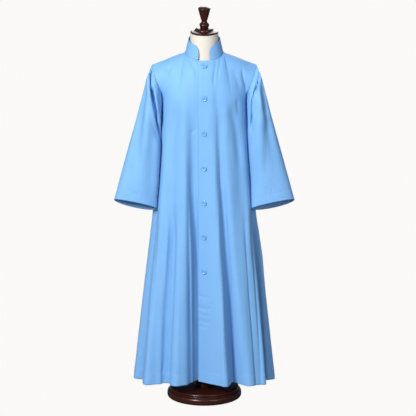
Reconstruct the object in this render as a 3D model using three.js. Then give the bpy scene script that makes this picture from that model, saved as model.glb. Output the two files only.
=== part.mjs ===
// A choir cassock worn by a limbless dress form on a turned wooden foot.
// Units are millimetres. +Z is up, the front faces -Y, and the origin is the centre of the foot's underside.
// "Left" is the wearer's left, which is +X; the left front laps over the right front and carries the buttons.
// Cloth is a thin wall: a grid of outer points, and the same grid moved inwards by the cloth's thickness.
import * as THREE from "three";

// ---------------------------------------------------------------- driving sizes

const CLOTH = 2; // thickness of the body and sleeve cloth, seam allowances included
const COLLAR_CLOTH = 3; // two layers with an interlining
const SEAM_GAP = 0.4; // between neighbouring pieces along a seam
const LAP_REACH = 25; // each front runs this far past the centre line
const LAP_DROP = CLOTH + 0.7; // how far the lower front lies under the upper one

const UNDERARM_Z = 1290;
const HEM_Z = { front: 86, side: 74, back: 70 };
const NECK_SIDE = { x: 79, y: 0, z: 1497 };
const NECK_FRONT = { y: -70, z: 1480 };
const NECK_BACK = { y: 72, z: 1508 };
const SHOULDER_TIP = { x: 217, y: 0, z: 1444 };
const NECK_SHARE = 0.48; // share of a front's top edge that is neckline; the rest is shoulder seam

const COLLAR_HEIGHT = 58;
const COLLAR_CORNER = 30; // radius of its rounded front corners
const COLLAR_LEAN = { side: 12.5, front: 8, back: 7 }; // how far its top edge leans in

const BUTTON_RADIUS = 11.5;
const BUTTON_COUNT = 7;
const TOP_BUTTON_Z = 1460;
const SECOND_BUTTON_Z = 1330;
const BUTTON_PITCH = 150.4;

// ---------------------------------------------------------------- tables

// Level sections of the body, without its folds. power 2 is an ellipse, and more is squarer.
const BODY_SECTIONS = [
  { z: 1290, halfWidth: 178, front: 126, back: 118, power: 2.5 },
  { z: 1040, halfWidth: 195, front: 130, back: 125, power: 2.5 },
  { z: 800, halfWidth: 217, front: 133, back: 134, power: 2.5 },
  { z: 430, halfWidth: 260, front: 137, back: 148, power: 2.5 },
  { z: 70, halfWidth: 299, front: 140, back: 164, power: 2.5 },
];

// Folds of the body. top and hem say where the fold lies round the body at the waist and at the hem: 0 is the front
// centre, 1 the left side seam, 2 the back centre, and negative values lie on the wearer's right. depth is how far it
// stands out at the hem, less than 0 for a trough. before and after are its half widths on its two sides, towards lower
// and higher positions. It starts at height from and deepens evenly down to the hem.
const BODY_FOLDS = [
  { name: "lap trough", top: -0.185, hem: -0.13, depth: -48, before: 25, after: 56, from: 1420 },
  { name: "right front lobe", top: -0.34, hem: -0.315, depth: 26, before: 34, after: 30, from: 1300 },
  { name: "right front hollow", top: -0.5, hem: -0.49, depth: -18, before: 24, after: 24, from: 1330 },
  { name: "right front edge", top: -0.66, hem: -0.66, depth: 26, before: 20, after: 30, from: 1200 },
  { name: "right side trough", top: -0.84, hem: -0.83, depth: -46, before: 24, after: 20, from: 1150 },
  { name: "left front lobe", top: 0.15, hem: 0.262, depth: 32, before: 50, after: 15, from: 1400 },
  { name: "left front trough", top: 0.24, hem: 0.35, depth: -36, before: 15, after: 24, from: 1420 },
  { name: "left front swell", top: 0.36, hem: 0.5, depth: 25, before: 30, after: 36, from: 1250 },
  { name: "left front hollow", top: 0.56, hem: 0.58, depth: -9, before: 22, after: 22, from: 1420 },
  { name: "left front edge", top: 0.68, hem: 0.665, depth: 27, before: 26, after: 18, from: 1200 },
  { name: "left side trough", top: 0.85, hem: 0.815, depth: -48, before: 18, after: 24, from: 1150 },
  { name: "left side pleat", top: 0.95, hem: 0.9, depth: 8, before: 9, after: 9, from: 1000 },
  { name: "left back trough", top: 1.3, hem: 1.26, depth: -40, before: 26, after: 26, from: 1250 },
  { name: "left back lobe", top: 1.48, hem: 1.47, depth: 24, before: 34, after: 30, from: 1330 },
  { name: "left centre trough", top: 1.7, hem: 1.69, depth: -38, before: 24, after: 30, from: 1380 },
  { name: "back centre lobe", top: 1.94, hem: 1.93, depth: 22, before: 40, after: 36, from: 1300 },
  { name: "right centre trough", top: -1.77, hem: -1.8, depth: -34, before: 28, after: 24, from: 1360 },
  { name: "right back lobe", top: -1.53, hem: -1.56, depth: 26, before: 32, after: 32, from: 1300 },
  { name: "right back trough", top: -1.32, hem: -1.31, depth: -42, before: 26, after: 26, from: 1280 },
];

// Lengthwise curves from the top edge to the underarm level. at is 0 on the centre line, NECK_SHARE at the neck point
// and 1 on the armhole. leave is the curve's first handle from its top point, and arrive its last handle from the
// underarm level.
const FRONT_CURVES = [
  { at: 0, leaveX: 0, leaveY: -38, leaveZ: -46, arriveX: 0, arriveY: 0, arriveZ: 80 },
  { at: 0.24, leaveX: 14, leaveY: -44, leaveZ: -36, arriveX: 0, arriveY: 0, arriveZ: 82 },
  { at: 0.48, leaveX: 8, leaveY: -58, leaveZ: -6, arriveX: 0, arriveY: 0, arriveZ: 84 },
  { at: 0.74, leaveX: 4, leaveY: -64, leaveZ: -4, arriveX: -2, arriveY: -6, arriveZ: 78 },
  { at: 1, leaveX: -5, leaveY: -73, leaveZ: -50, arriveX: -10, arriveY: -70, arriveZ: 48 },
];
const BACK_CURVES = [
  { at: 0, leaveX: 0, leaveY: 30, leaveZ: -34, arriveX: 0, arriveY: 5, arriveZ: 90 },
  { at: 0.24, leaveX: 12, leaveY: 38, leaveZ: -28, arriveX: 0, arriveY: 5, arriveZ: 88 },
  { at: 0.48, leaveX: 6, leaveY: 54, leaveZ: -5, arriveX: 0, arriveY: 4, arriveZ: 86 },
  { at: 0.74, leaveX: 4, leaveY: 60, leaveZ: -3, arriveX: -2, arriveY: 8, arriveZ: 78 },
  { at: 1, leaveX: -3, leaveY: 70, leaveZ: -48, arriveX: -6, arriveY: 70, arriveZ: 46 },
];

// Sections of a sleeve, for the left one. Each runs from its outer line to its inner line, y is the depth of that
// chord's middle, and front and back are how far the cloth stands from it. lift raises the front and drop lowers the
// back, so that the cuff's mouth faces a little forwards. point is 1 for an ellipse and more for a pointed lens.
const SLEEVE_SECTIONS = [
  { at: 0, outerX: 217, outerZ: 1444, innerX: 178, innerZ: 1290, y: 2, front: 58, back: 52, lift: 0, drop: 0 },
  { at: 0.1, outerX: 238, outerZ: 1405, innerX: 180, innerZ: 1246, y: -42, front: 48, back: 68, lift: 0, drop: 0 },
  { at: 0.4, outerX: 284, outerZ: 1225, innerX: 183, innerZ: 1112, y: -57, front: 46, back: 58, lift: 4, drop: 6 },
  { at: 0.7, outerX: 331, outerZ: 1050, innerX: 193, innerZ: 975, y: -58, front: 45, back: 45, lift: 11, drop: 16 },
  { at: 1, outerX: 378, outerZ: 876, innerX: 197, innerZ: 837, y: -68, front: 40, back: 42, lift: 19, drop: 29 },
];

// Folds of the sleeves. turn is the direction round the sleeve in degrees: 0 outer line, 90 front, 180 inner line, 270
// back. The fold runs from its start to its end down the sleeve and fades at both.
const LEFT_SLEEVE_FOLDS = [
  { name: "long crease", start: 0.0, end: 0.42, startTurn: 30, endTurn: 160, depth: -8, width: 24 },
  { name: "crease ridge", start: 0.0, end: 0.34, startTurn: 84, endTurn: 180, depth: 4, width: 22 },
  { name: "outer hollow", start: 0.05, end: 1.0, startTurn: 20, endTurn: 84, depth: -8, width: 20 },
  { name: "front swell", start: 0.15, end: 1.05, startTurn: 62, endTurn: 122, depth: 6, width: 20 },
  { name: "back crease", start: 0.0, end: 0.6, startTurn: 322, endTurn: 208, depth: -9, width: 22 },
  { name: "back hollow", start: 0.2, end: 1.0, startTurn: 330, endTurn: 280, depth: -7, width: 20 },
];
const RIGHT_SLEEVE_FOLDS = [
  { name: "long crease", start: 0.0, end: 0.44, startTurn: 30, endTurn: 164, depth: -9, width: 23 },
  { name: "crease ridge", start: 0.0, end: 0.36, startTurn: 86, endTurn: 182, depth: 4, width: 22 },
  { name: "outer hollow", start: 0.05, end: 1.0, startTurn: 16, endTurn: 80, depth: -8, width: 20 },
  { name: "front swell", start: 0.2, end: 1.05, startTurn: 60, endTurn: 116, depth: 6, width: 20 },
  { name: "back crease", start: 0.0, end: 0.55, startTurn: 318, endTurn: 214, depth: -9, width: 21 },
  { name: "back hollow", start: 0.2, end: 1.0, startTurn: 326, endTurn: 276, depth: -7, width: 20 },
];

// Rings of the form, from the top of its neck to its underside. sideZ, frontZ and backZ are the ring's heights there.
const SHOULDER_FALL = (NECK_SIDE.z - SHOULDER_TIP.z) / (SHOULDER_TIP.x - NECK_SIDE.x);
const FORM_CLEARANCE = 0.7; // between the form's shoulder ridge and the cloth that rests on it
const underShoulder = (x) =>
  NECK_SIDE.z - SHOULDER_FALL * (x - NECK_SIDE.x) - CLOTH * Math.hypot(1, SHOULDER_FALL) - FORM_CLEARANCE;
const NECK_TOP_Z = 1581;
const FORM_BOTTOM_Z = 842;
const FORM_RINGS = [
  { halfWidth: 59, front: 59, back: 59, sideZ: NECK_TOP_Z, frontZ: NECK_TOP_Z, backZ: NECK_TOP_Z, power: 2 },
  { halfWidth: 59, front: 59, back: 59, sideZ: 1526, frontZ: 1512, backZ: 1526, power: 2 },
  { halfWidth: 61, front: 59.5, back: 60, sideZ: 1508, frontZ: 1488, backZ: 1504, power: 2 },
  { halfWidth: 68, front: 61, back: 61, sideZ: 1494.5, frontZ: 1466, backZ: 1478, power: 2 },
  { halfWidth: 90, front: 66, back: 65, sideZ: underShoulder(90) - 0.3, frontZ: 1442, backZ: 1446, power: 2 },
  { halfWidth: 125, front: 75, back: 72, sideZ: underShoulder(125), frontZ: 1408, backZ: 1410, power: 2 },
  { halfWidth: 156, front: 81, back: 77, sideZ: underShoulder(156) - 1, frontZ: 1378, backZ: 1378, power: 2 },
  { halfWidth: 170, front: 87, back: 82, sideZ: underShoulder(170) - 10, frontZ: 1350, backZ: 1350, power: 2.1 },
  { halfWidth: 172, front: 93, back: 86, sideZ: 1418, frontZ: 1328, backZ: 1328, power: 2.2 },
  { halfWidth: 166, front: 98, back: 90, sideZ: 1370, frontZ: 1304, backZ: 1304, power: 2.3 },
  { halfWidth: 158, front: 102, back: 94, sideZ: 1300, frontZ: 1272, backZ: 1272, power: 2.3 },
  { halfWidth: 146, front: 100, back: 92, sideZ: 1190, frontZ: 1190, backZ: 1190, power: 2.3 },
  { halfWidth: 139, front: 97, back: 91, sideZ: 1090, frontZ: 1090, backZ: 1090, power: 2.3 },
  { halfWidth: 154, front: 102, back: 104, sideZ: 985, frontZ: 985, backZ: 985, power: 2.3 },
  { halfWidth: 160, front: 103, back: 110, sideZ: 900, frontZ: 900, backZ: 900, power: 2.3 },
  { halfWidth: 152, front: 97, back: 106, sideZ: FORM_BOTTOM_Z, frontZ: FORM_BOTTOM_Z, backZ: FORM_BOTTOM_Z, power: 2.3 },
];

// Turned profiles, as radius and height above the piece's own foot.
const FOOT_PROFILE = [
  { radius: 153, height: 0 }, { radius: 156, height: 4 }, { radius: 156.5, height: 14 }, { radius: 155, height: 24 },
  { radius: 151, height: 29 }, { radius: 146, height: 31 }, { radius: 144, height: 35 }, { radius: 145.5, height: 39 },
  { radius: 144, height: 43 }, { radius: 138, height: 46 }, { radius: 118, height: 47 }, { radius: 38, height: 49 },
  { radius: 38, height: 58 }, { radius: 33, height: 62 }, { radius: 27, height: 64.5 }, { radius: 25, height: 72 },
  { radius: 28, height: 77 }, { radius: 26, height: 83 }, { radius: 21, height: 87 },
];
const CAP_PROFILE = [
  { radius: 56, height: 0 }, { radius: 58, height: 2 }, { radius: 57.5, height: 5.5 }, { radius: 53, height: 8 },
  { radius: 38, height: 11.5 }, { radius: 37, height: 15.5 }, { radius: 32, height: 19.5 }, { radius: 22, height: 21.5 },
];
const FINIAL_PROFILE = [
  { radius: 18, height: 0 }, { radius: 18.5, height: 5 }, { radius: 20.5, height: 10 }, { radius: 19.5, height: 16 },
  { radius: 15.5, height: 21 }, { radius: 12, height: 25 }, { radius: 11.8, height: 28 }, { radius: 14.5, height: 36 },
  { radius: 20, height: 58 }, { radius: 25.5, height: 80 }, { radius: 26, height: 83 }, { radius: 23, height: 86 },
  { radius: 12, height: 90 },
];
const BUTTON_PROFILE = [
  { radius: 2.6, height: 0 }, { radius: 2.6, height: 1.4 }, { radius: 10, height: 1.4 },
  { radius: BUTTON_RADIUS, height: 2.8 }, { radius: BUTTON_RADIUS - 1.2, height: 4.4 },
  { radius: BUTTON_RADIUS - 3.4, height: 4.2 }, { radius: BUTTON_RADIUS - 5, height: 3.2 },
];
const BUTTON_FACE_HEIGHT = 3.1; // at the middle of the dished face
const POLE_RADIUS = 15;
const POLE_SETTING = 6; // how far the pole is drawn out: it lifts the form and the cassock above the heights given here
const FINIAL_TOP = 92; // at the middle of its slightly domed top
const CAP_TOP = CAP_PROFILE[CAP_PROFILE.length - 1].height;
const FOOT_TOP = FOOT_PROFILE[FOOT_PROFILE.length - 1].height;

// ---------------------------------------------------------------- colours

const material = (color, roughness, metalness = 0) => new THREE.MeshStandardMaterial({ color, roughness, metalness });
const BLUE_CLOTH = material(0x84b8f4, 0.85);
const BLUE_BUTTON = material(0x8fc0f5, 0.35);
const CREAM_COVER = material(0xeee6da, 0.9);
const DARK_WOOD = material(0x3a1c13, 0.3);

// ---------------------------------------------------------------- small helpers

const vector = (x, y, z) => new THREE.Vector3(x, y, z);
const mix = (a, b, t) => a + (b - a) * t;
const between = (low, high, x) => Math.min(1, Math.max(0, (x - low) / (high - low)));
const ease = (t) => t * t * (3 - 2 * t);
const bump = (distance, before, after) => Math.exp(-((distance / (distance < 0 ? before : after)) ** 2));

// The value of one column of a table at a place between its rows, as a smooth curve through the rows.
function readTable(rows, key, column, place) {
  const rising = rows[rows.length - 1][key] > rows[0][key] ? 1 : -1;
  let i = 0;
  while (i < rows.length - 2 && (place - rows[i + 1][key]) * rising > 0) i += 1;
  const [a, b] = [rows[i], rows[i + 1]];
  const [first, last] = [rows[i - 1] ?? a, rows[i + 2] ?? b];
  const span = b[key] - a[key];
  const slope = (from, to) => (to[column] - from[column]) / (to[key] - from[key] || 1);
  const slopeA = slope(first, b) * span;
  const slopeB = slope(a, last) * span;
  const t = (place - a[key]) / span;
  return (
    (2 * t ** 3 - 3 * t ** 2 + 1) * a[column] + (t ** 3 - 2 * t ** 2 + t) * slopeA +
    (3 * t ** 2 - 2 * t ** 3) * b[column] + (t ** 3 - t ** 2) * slopeB
  );
}

// ---------------------------------------------------------------- the body's surface

// A quarter of a squared ellipse as a polyline from the centre line to the side, with its length so far at each point.
const QUARTER_STEPS = 40;
const quarters = new Map();
function quarterOutline(z, depthColumn) {
  const key = depthColumn + z.toFixed(2);
  if (quarters.has(key)) return quarters.get(key);
  const halfWidth = readTable(BODY_SECTIONS, "z", "halfWidth", z);
  const depth = readTable(BODY_SECTIONS, "z", depthColumn, z);
  const power = readTable(BODY_SECTIONS, "z", "power", z);
  const points = [];
  let length = 0;
  for (let i = 0; i <= QUARTER_STEPS; i += 1) {
    const turn = ((i / QUARTER_STEPS) * Math.PI) / 2;
    const [across, away] = [Math.sin(turn) / halfWidth, Math.cos(turn) / depth];
    const reach = (Math.abs(across) ** power + Math.abs(away) ** power) ** (-1 / power);
    const point = { x: Math.sin(turn) * reach, y: Math.cos(turn) * reach };
    if (i > 0) length += Math.hypot(point.x - points[i - 1].x, point.y - points[i - 1].y);
    points.push({ ...point, length });
  }
  const outline = { points, length };
  quarters.set(key, outline);
  return outline;
}

// The point, and the direction that faces out, at a share of a quarter's length from the centre line.
function onQuarter(outline, share) {
  const { points, length } = outline;
  const goal = share * length;
  let i = 1;
  while (i < QUARTER_STEPS && points[i].length < goal) i += 1;
  const [a, b] = [points[i - 1], points[i]];
  const t = (goal - a.length) / (b.length - a.length);
  const chord = Math.hypot(b.x - a.x, b.y - a.y);
  return { x: mix(a.x, b.x, t), y: mix(a.y, b.y, t), outX: (a.y - b.y) / chord, outY: (b.x - a.x) / chord };
}

// How far the folds move the cloth out at a place round the body and a height.
function foldDepth(place, z) {
  const front = quarterOutline(z, "front").length;
  const back = quarterOutline(z, "back").length;
  const along = (at) => Math.sign(at) * (Math.min(Math.abs(at), 1) * front + Math.max(Math.abs(at) - 1, 0) * back);
  const round = 2 * (front + back);
  const top = BODY_SECTIONS[1].z;
  const down = (top - z) / (top - HEM_Z.back);
  return BODY_FOLDS.reduce((sum, fold) => {
    let distance = along(place) - along(mix(fold.top, fold.hem, down));
    distance -= Math.round(distance / round) * round;
    const grown = between(fold.from, HEM_Z.back, z);
    const narrow = mix(0.8, 1, grown);
    return sum + fold.depth * grown * bump(distance, fold.before * narrow, fold.after * narrow);
  }, 0);
}

// A point of the body at underarm level or below. place runs from -2 to 3, as in BODY_FOLDS, and 3 is -1 again.
function skirtPoint(place, z) {
  const wrapped = place > 2 ? place - 4 : place;
  const side = wrapped < 0 ? -1 : 1;
  const fromCentre = Math.abs(wrapped);
  const isFront = fromCentre <= 1;
  const at = onQuarter(quarterOutline(z, isFront ? "front" : "back"), isFront ? fromCentre : 2 - fromCentre);
  const facing = isFront ? -1 : 1;
  const out = foldDepth(wrapped, z);
  return vector(side * (at.x + out * at.outX), facing * (at.y + out * at.outY), z);
}

// The top edge of a front or back at a share from its centre line: the neckline, and then the shoulder seam.
function topEdge(share, isFront) {
  if (share <= NECK_SHARE) {
    const turn = ((share / NECK_SHARE) * Math.PI) / 2;
    const centre = isFront ? NECK_FRONT : NECK_BACK;
    const [across, away] = [Math.sin(turn), Math.cos(turn)];
    return vector(NECK_SIDE.x * across, mix(NECK_SIDE.y, centre.y, away), mix(NECK_SIDE.z, centre.z, away));
  }
  const t = (share - NECK_SHARE) / (1 - NECK_SHARE);
  const [a, b] = [NECK_SIDE, SHOULDER_TIP];
  return vector(mix(a.x, b.x, t), mix(a.y, b.y, t), mix(a.z, b.z, t));
}

// A point between the top edge, at down 0, and the underarm level, at down 1.
function yokePoint(place, down) {
  const wrapped = place > 2 ? place - 4 : place;
  const side = wrapped < 0 ? -1 : 1;
  const isFront = Math.abs(wrapped) <= 1;
  const share = isFront ? Math.abs(wrapped) : 2 - Math.abs(wrapped);
  const curves = isFront ? FRONT_CURVES : BACK_CURVES;
  const read = (column) => readTable(curves, "at", column, share);
  const start = topEdge(share, isFront);
  const end = skirtPoint(wrapped, UNDERARM_Z);
  const below = skirtPoint(wrapped, UNDERARM_Z - 1);
  const rise = read("arriveZ");
  start.x *= side;
  const leave = start.clone().add(vector(side * read("leaveX"), read("leaveY"), read("leaveZ")));
  const lean = vector(end.x - below.x, end.y - below.y, 0).multiplyScalar(rise);
  const arrive = end.clone().add(lean).add(vector(side * read("arriveX"), read("arriveY"), rise));
  return new THREE.CubicBezierCurve3(start, leave, arrive, end).getPoint(down);
}

const YOKE_ROWS = 8;
const SKIRT_ROWS = [0, 0.045, 0.1, 0.17, 0.25, 0.35, 0.46, 0.58, 0.7, 0.82, 0.92, 0.963, 1]; // shares of the way down
const ROWS = YOKE_ROWS + SKIRT_ROWS.length - 1;

function hemHeight(place) {
  const fromCentre = Math.min(Math.abs(place), Math.abs(4 - Math.abs(place)));
  const sideways = Math.sin((fromCentre * Math.PI) / 2) ** 2;
  return mix(fromCentre < 1 ? HEM_Z.front : HEM_Z.back, HEM_Z.side, sideways);
}

// A point of the body in row numbers: 0 is the top edge, YOKE_ROWS the underarm level and ROWS the hem.
function bodyPoint(place, row) {
  if (row < YOKE_ROWS) return yokePoint(place, row / YOKE_ROWS);
  const i = Math.min(Math.floor(row - YOKE_ROWS), SKIRT_ROWS.length - 2);
  const share = mix(SKIRT_ROWS[i], SKIRT_ROWS[i + 1], row - YOKE_ROWS - i);
  return skirtPoint(place, mix(UNDERARM_Z, hemHeight(place), share));
}

const STEP = 0.004; // of a quarter or of a row, for slopes
const SHOULDER_SEAM_ROW = 0.008; // both pieces stop this far from the shoulder line, in rows
const SEAM_SHARE = 0.0011; // and this far from the side line, as a share of a quarter
const LAP_JOG = 22; // over this width the lower front comes back to the surface
const FRONT_COLUMNS = 24; // from the lap to the side seam
const BACK_COLUMNS = 40;

// The direction that faces out of the body. On the shoulder seam both pieces share one, so that their edges meet.
function bodyOut(place, row) {
  const wrapped = place > 2 ? place - 4 : place;
  const share = Math.abs(wrapped) <= 1 ? Math.abs(wrapped) : 2 - Math.abs(wrapped);
  const side = wrapped < 0 ? -1 : 1;
  if (row <= SHOULDER_SEAM_ROW && share >= NECK_SHARE) return vector(side * SHOULDER_FALL, 0, 1).normalize();
  const inYoke = row < YOKE_ROWS && share > 1 - 3 * STEP; // the armhole's edge has cloth on one side only
  const inward = Math.abs(wrapped) <= 1 ? -side : side;
  const [p0, p1] = inYoke ? [place + inward * 4 * STEP, place] : [place - STEP, place + STEP];
  const [r0, r1] = [Math.max(row - STEP, 0), Math.min(Math.max(row - STEP, 0) + 2 * STEP, ROWS)];
  const across = bodyPoint(p1, row).sub(bodyPoint(p0, row));
  if (inYoke && inward > 0) across.negate();
  const down = bodyPoint(place, r1).sub(bodyPoint(place, Math.min(r0, r1 - STEP)));
  return down.cross(across).normalize();
}

// ---------------------------------------------------------------- walls of cloth

// The solid between two grids of points. closed joins the last column to the first.
function wallSolid(outer, inner, closed = false) {
  const rows = outer.length;
  const columns = outer[0].length;
  const position = [...outer, ...inner].flat().flatMap((p) => [p.x, p.y, p.z]);
  const index = [];
  const at = (face, i, j) => face * rows * columns + i * columns + (j % columns);
  const quad = (a, b, c, d) => index.push(a, b, c, a, c, d);
  const last = closed ? columns : columns - 1;
  for (let i = 0; i < rows - 1; i += 1) {
    for (let j = 0; j < last; j += 1) {
      quad(at(0, i, j), at(0, i + 1, j), at(0, i + 1, j + 1), at(0, i, j + 1));
      quad(at(1, i, j), at(1, i, j + 1), at(1, i + 1, j + 1), at(1, i + 1, j));
    }
  }
  for (let j = 0; j < last; j += 1) {
    quad(at(0, 0, j), at(0, 0, j + 1), at(1, 0, j + 1), at(1, 0, j));
    quad(at(0, rows - 1, j), at(1, rows - 1, j), at(1, rows - 1, j + 1), at(0, rows - 1, j + 1));
  }
  for (let i = 0; i < rows - 1 && !closed; i += 1) {
    quad(at(0, i, 0), at(1, i, 0), at(1, i + 1, 0), at(0, i + 1, 0));
    quad(at(0, i, last), at(0, i + 1, last), at(1, i + 1, last), at(1, i, last));
  }
  return solidFrom(position, index);
}

// A geometry whose faces point out, whichever way its grid ran.
function solidFrom(position, index) {
  let volume = 0;
  const corner = (i) => vector(position[3 * i], position[3 * i + 1], position[3 * i + 2]);
  for (let i = 0; i < index.length; i += 3) {
    volume += corner(index[i]).dot(corner(index[i + 1]).cross(corner(index[i + 2])));
  }
  if (volume < 0) index.reverse();
  const geometry = new THREE.BufferGeometry();
  geometry.setAttribute("position", new THREE.Float32BufferAttribute(position, 3));
  geometry.setIndex(index);
  geometry.computeVertexNormals();
  return geometry;
}

// A piece of the body. placesAt gives the places of a row's columns, and drop how far in a point of the piece lies.
function bodyPanel(placesAt, drop = () => 0) {
  const outer = [];
  const inner = [];
  for (let row = 0; row <= ROWS; row += 1) {
    const rowAt = row === 0 ? SHOULDER_SEAM_ROW : row;
    const places = placesAt(rowAt);
    const points = places.map((place) => bodyPoint(place, rowAt));
    const outs = places.map((place) => bodyOut(place, rowAt));
    outer.push(points.map((point, j) => point.clone().addScaledVector(outs[j], -drop(point))));
    inner.push(points.map((point, j) => point.clone().addScaledVector(outs[j], -drop(point) - CLOTH)));
  }
  return wallSolid(outer, inner);
}

// The place in a row that lies LAP_REACH from the centre line.
function lapPlace(row) {
  let [low, high] = [0, 0.3];
  for (let i = 0; i < 30; i += 1) {
    const middle = (low + high) / 2;
    if (bodyPoint(middle, row).x < LAP_REACH) low = middle;
    else high = middle;
  }
  return low;
}

// A front's columns from its lap edge to its side seam. Both fronts have the same ones where they lie on each other.
function frontPlaces(row) {
  const lap = lapPlace(row);
  const rest = Array.from({ length: FRONT_COLUMNS }, (_, j) => mix(lap, 1 - SEAM_SHARE, (j + 1) / FRONT_COLUMNS));
  return [-lap, -lap / 2, 0, lap / 2, lap, ...rest];
}

const backPlaces = () =>
  Array.from({ length: BACK_COLUMNS + 1 }, (_, j) => mix(1 + SEAM_SHARE, 3 - SEAM_SHARE, j / BACK_COLUMNS));

// The lower front lies under the upper one and comes back to the surface beside its edge.
const lapDrop = (point) => LAP_DROP * ease(between(-LAP_REACH - LAP_JOG, -LAP_REACH, point.x));

// ---------------------------------------------------------------- sleeves

const ARMHOLE_POINTS = 2 * YOKE_ROWS;

// The armhole's edge as a ring from the shoulder tip down the front, under the arm and up the back, with a point added
// in the middle of each stretch, so that the ring stays on the body's own straight edges.
function armholeRing(side) {
  const corners = [];
  for (let i = 0; i < ARMHOLE_POINTS; i += 1) {
    const inFront = i <= YOKE_ROWS;
    const row = inFront ? i : ARMHOLE_POINTS - i;
    const place = side * (inFront ? 1 - 1e-6 : 1 + 1e-6);
    const point = bodyPoint(place, row);
    corners.push({ outer: point, out: bodyOut(place, row) });
  }
  return corners.flatMap((corner, i) => {
    const next = corners[(i + 1) % ARMHOLE_POINTS];
    const inner = corner.outer.clone().addScaledVector(corner.out, -CLOTH);
    const nextInner = next.outer.clone().addScaledVector(next.out, -CLOTH);
    return [
      { outer: corner.outer, inner },
      { outer: corner.outer.clone().lerp(next.outer, 0.5), inner: inner.clone().lerp(nextInner, 0.5) },
    ];
  });
}

// A point of a sleeve's own tube, for the left side: share runs down the sleeve, turn round it in degrees.
function tubePoint(share, turn, folds) {
  const read = (column) => readTable(SLEEVE_SECTIONS, "at", column, share);
  const outer = vector(read("outerX"), read("y"), read("outerZ"));
  const inner = vector(read("innerX"), read("y"), read("innerZ"));
  const angle = THREE.MathUtils.degToRad(turn);
  const [toOuter, toFront] = [Math.cos(angle), Math.sin(angle)];
  const depth = toFront > 0 ? -read("front") : read("back");
  const rise = toFront > 0 ? read("lift") : -read("drop");
  const point = outer.clone().add(inner).multiplyScalar(0.5);
  point.addScaledVector(outer.clone().sub(inner), toOuter / 2);
  point.add(vector(0, depth, rise).multiplyScalar(Math.abs(toFront)));
  const out = vector(toOuter * 0.8, -toFront, toOuter * 0.25).normalize();
  folds.forEach((fold) => {
    const t = (share - fold.start) / (fold.end - fold.start);
    if (t <= 0 || t >= 1) return;
    let away = turn - mix(fold.startTurn, fold.endTurn, t);
    away -= Math.round(away / 360) * 360;
    point.addScaledVector(out, fold.depth * Math.sin(Math.PI * Math.sqrt(t)) * bump(away, fold.width, fold.width));
  });
  return point;
}

const SLEEVE_SHARES = [0, 0.035, 0.08, 0.14, 0.21, 0.3, 0.4, 0.5, 0.61, 0.72, 0.83, 0.93, 1];

function sleeve(side, folds) {
  const ring = armholeRing(side);
  const turns = ring.map((_, i) => (i * 360) / ring.length);
  const place = (point) => vector(side * point.x, point.y, point.z);
  const start = turns.map((turn) => place(tubePoint(0, turn, folds)));
  const surface = (share, i) => {
    const hold = 1 - ease(between(0, 0.32, share));
    const point = place(tubePoint(share, turns[i], folds));
    return point.add(ring[i].outer.clone().sub(start[i]).multiplyScalar(hold));
  };
  const away = vector(side, 0, -0.25).normalize().multiplyScalar(SEAM_GAP);
  const outer = SLEEVE_SHARES.map((share) => turns.map((_, i) => surface(share, i)));
  const inner = outer.map((row, k) =>
    row.map((point, i) => {
      if (k === 0) return ring[i].inner.clone();
      const count = row.length;
      const round = row[(i + 1) % count].clone().sub(row[(i + count - 1) % count]);
      const below = outer[Math.min(k + 1, outer.length - 1)][i];
      const down = below.clone().sub(outer[k - 1][i]);
      const out = round.cross(down).normalize().multiplyScalar(side);
      return point.clone().addScaledVector(out, -CLOTH);
    }),
  );
  [...outer[0], ...inner[0]].forEach((point) => point.add(away));
  return wallSolid(outer, inner, true);
}

// ---------------------------------------------------------------- collar

const COLLAR_ROWS = 4;
const COLLAR_END_TURN = THREE.MathUtils.radToDeg(Math.asin(LAP_REACH / NECK_SIDE.x)) + 0.4;
const COLLAR_SIDE_TURNS = [0, 1.2, 3.2, 6.5, 11, 16.5, 23, 34, 47, 60, 74, 90, 106, 122, 140];

// A point of the collar: turn is 0 at the front centre and 180 at the back, and rise is its height.
function collarPoint(turn, rise, inset) {
  const angle = THREE.MathUtils.degToRad(turn);
  const [across, away] = [Math.sin(angle), Math.cos(angle)];
  const centre = away > 0 ? NECK_FRONT : NECK_BACK;
  const lean = rise / COLLAR_HEIGHT;
  const halfWidth = NECK_SIDE.x - COLLAR_LEAN.side * lean - inset;
  const depth = Math.abs(centre.y) - (away > 0 ? COLLAR_LEAN.front : COLLAR_LEAN.back) * lean - inset;
  const z = mix(NECK_SIDE.z, centre.z, Math.abs(away)) + SEAM_GAP + rise;
  return vector(halfWidth * across, -depth * away, z);
}

function collar() {
  const side = COLLAR_SIDE_TURNS.map((turn) => turn + COLLAR_END_TURN);
  const turns = [...side, 180, ...side.map((turn) => 360 - turn).reverse()];
  const heightAt = (turn) => {
    const fromFront = Math.max(Math.min(turn, 360 - turn) - COLLAR_END_TURN, 0);
    const along = THREE.MathUtils.degToRad(fromFront) * NECK_SIDE.x;
    const short = Math.max(COLLAR_CORNER - along, 0);
    return COLLAR_HEIGHT - COLLAR_CORNER + Math.sqrt(COLLAR_CORNER ** 2 - short ** 2);
  };
  const grid = (inset) =>
    Array.from({ length: COLLAR_ROWS + 1 }, (_, i) =>
      turns.map((turn) => collarPoint(turn, (heightAt(turn) * i) / COLLAR_ROWS, inset)),
    );
  return wallSolid(grid(0), grid(COLLAR_CLOTH));
}

// ---------------------------------------------------------------- the form and its foot

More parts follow.
